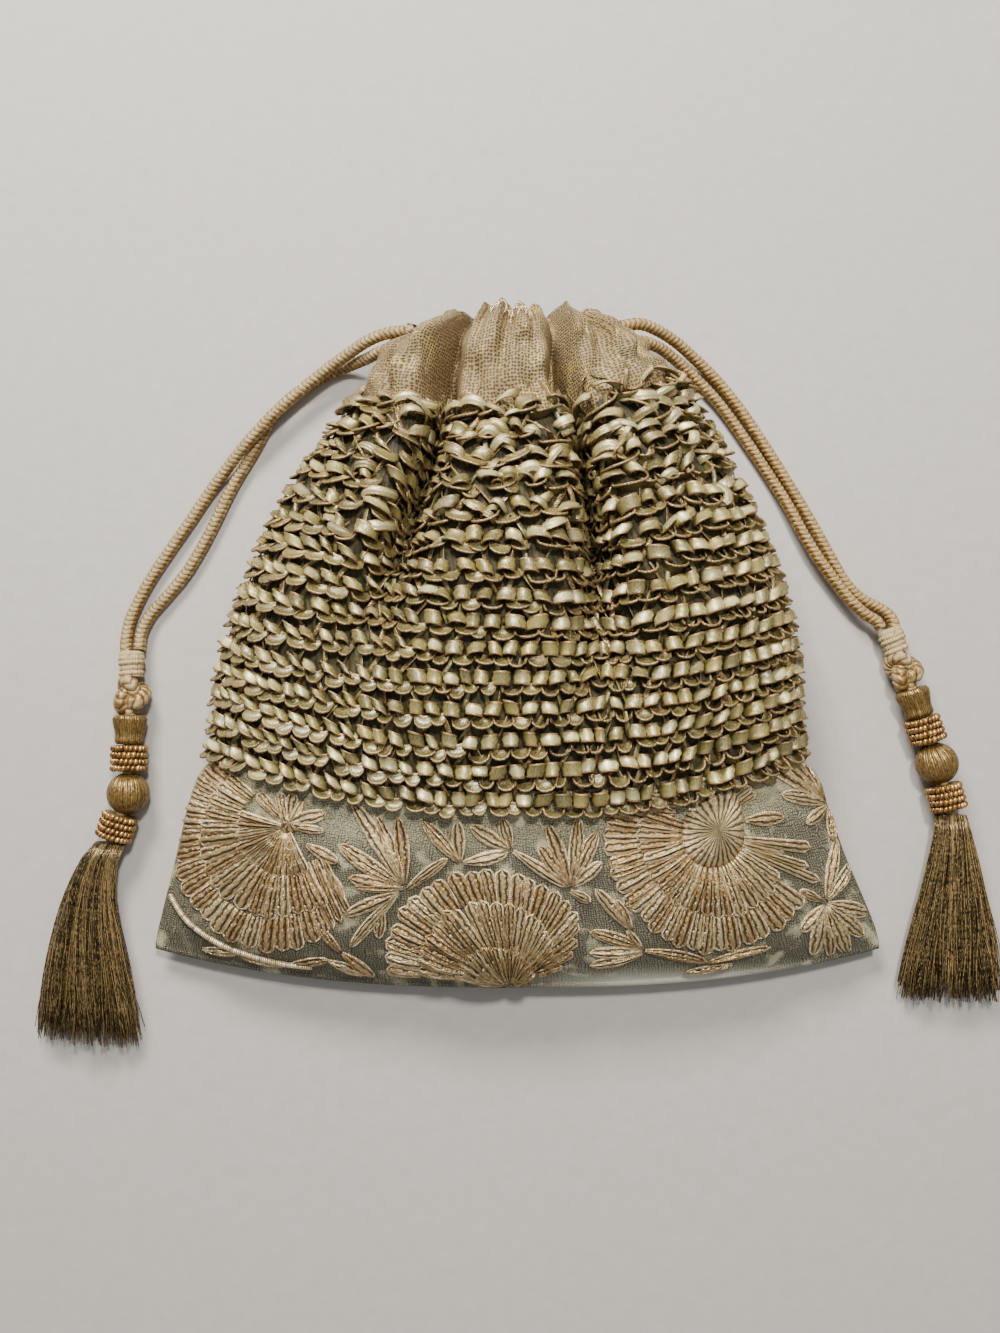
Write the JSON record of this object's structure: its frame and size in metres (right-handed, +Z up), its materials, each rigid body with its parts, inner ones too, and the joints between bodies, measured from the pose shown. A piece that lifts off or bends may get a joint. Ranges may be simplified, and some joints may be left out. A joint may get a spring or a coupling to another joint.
{
  "type": "drawstring pouch",
  "caption": "Flat-lying drawstring pouch: ribbon-knit body, embroidered base band, gathered casing, cord loops ending in knots and tassels.",
  "frame": {"origin": "centre of the pouch's bounding box in plan, at the surface it lies on, without the cords and tassels", "axes": "+Z up from the surface, +Y from the bottom edge towards the mouth, +X towards the viewer's right"},
  "size_m": [0.2807, 0.2137, 0.0448],
  "materials": {
    "ribbon": "satin metallic ribbon, knitted",
    "band": "fine net over a matte lining",
    "embroidery": "satin metallic ribbon and thread",
    "net": "matte net with a slight metallic gleam",
    "cord": "plaited, half matte and half metallic",
    "thread": "fine metallic thread",
    "beads": "small polished beads"
  },
  "bodies": {
    "root": {"base_band": "band", "knit_body": "ribbon", "casing": "net", "fan_left": "embroidery", "fan_centre": "embroidery", "fan_right": "embroidery", "spray_left": "embroidery", "spray_centre": "embroidery", "spray_middle_right": "embroidery", "spray_right_top": "embroidery", "spray_right_corner": "embroidery", "spray_lower_left": "embroidery", "spray_lower_right": "embroidery", "cord_left_outer": "cord", "cord_left_inner": "cord", "cord_right_outer": "cord", "cord_right_inner": "cord", "cord_wrap_left": "cord", "cord_knot_left": "cord", "tassel_cap_left": "thread", "upper_collar_left": "beads", "tassel_ball_left": "thread", "lower_collar_left": "beads", "tassel_skirt_left": "thread", "cord_wrap_right": "cord", "cord_knot_right": "cord", "tassel_cap_right": "thread", "upper_collar_right": "beads", "tassel_ball_right": "thread", "lower_collar_right": "beads", "tassel_skirt_right": "thread"}
  },
  "joints": []
}
